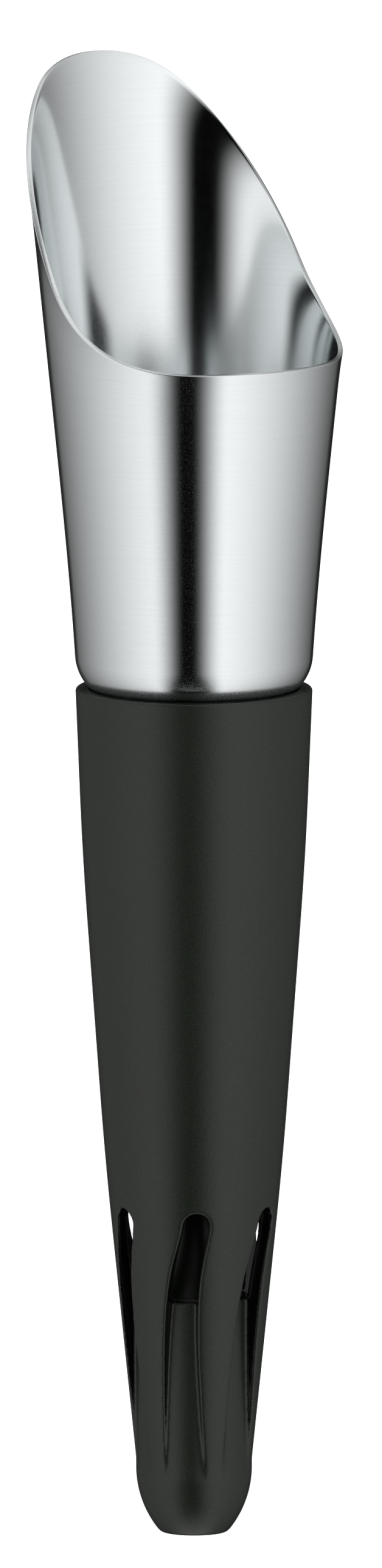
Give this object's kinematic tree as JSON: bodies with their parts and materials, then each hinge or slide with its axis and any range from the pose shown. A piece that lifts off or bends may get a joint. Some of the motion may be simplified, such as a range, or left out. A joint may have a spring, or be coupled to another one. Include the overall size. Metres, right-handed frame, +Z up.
{
  "type": "wine aerator pourer",
  "caption": "Wine aerator pourer: a flared brushed steel scoop cup on a tapered black stopper with S-shaped swirl slots round a solid core and a rounded nose.",
  "frame": {"origin": "on the axis, at the height where the tapered stopper seats in an 18.5 mm bottle mouth", "axes": "+Z up the axis to the spout, the cup's low side towards -Y and its pouring lip towards +Y"},
  "size_m": [0.0284, 0.0301, 0.1369],
  "materials": {
    "steel": "satin brushed round the axis",
    "ring_rubber": "smooth silicone",
    "stopper_plastic": "fine spark-eroded texture"
  },
  "bodies": {
    "root": {"spout_cup": "steel", "seal_ring": "ring_rubber", "stopper_body": "stopper_plastic"}
  },
  "joints": []
}
